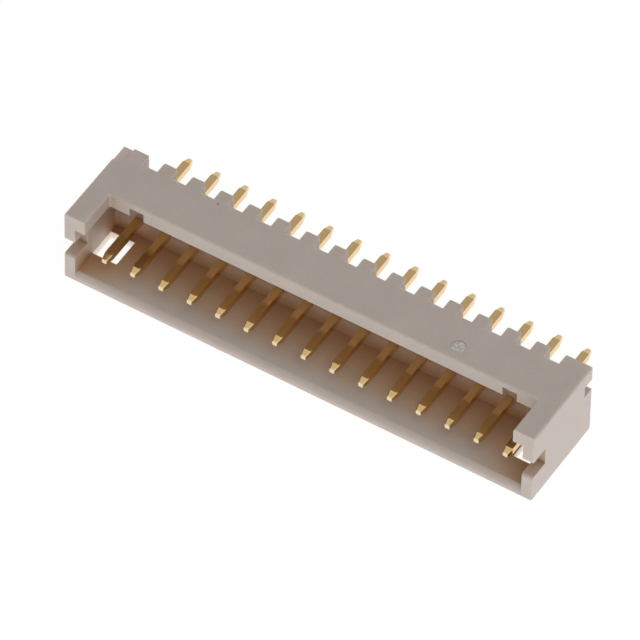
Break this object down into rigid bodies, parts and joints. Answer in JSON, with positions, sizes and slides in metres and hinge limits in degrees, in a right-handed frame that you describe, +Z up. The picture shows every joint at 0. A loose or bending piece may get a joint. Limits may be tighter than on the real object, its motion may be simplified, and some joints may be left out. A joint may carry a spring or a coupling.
{
  "type": "single-row shrouded box header",
  "caption": "Single-row shrouded pin header: a moulded box with a latch cut-out holds straight gold-plated contacts that solder to a board and mate with a cable plug",
  "frame": {"origin": "centre of the bounding box at its lowest face: the outside of the long lower wall, on which the header lies", "axes": "+X along the row from the first contact, beside the lowered corner, to the last; +Y the way the solder tails point, so the mouth faces -Y; +Z up, square to the two long walls"},
  "size_m": [0.0326, 0.0104, 0.0056],
  "materials": {
    "housing_plastic": "fine matt mould finish, warm grey-beige",
    "contact_gold": "smooth gold plating over a drawn square wire"
  },
  "bodies": {
    "root": {"housing": "housing_plastic", "contact_01": "contact_gold", "contact_02": "contact_gold", "contact_03": "contact_gold", "contact_04": "contact_gold", "contact_05": "contact_gold", "contact_06": "contact_gold", "contact_07": "contact_gold", "contact_08": "contact_gold", "contact_09": "contact_gold", "contact_10": "contact_gold", "contact_11": "contact_gold", "contact_12": "contact_gold", "contact_13": "contact_gold", "contact_14": "contact_gold", "contact_15": "contact_gold"}
  },
  "joints": []
}
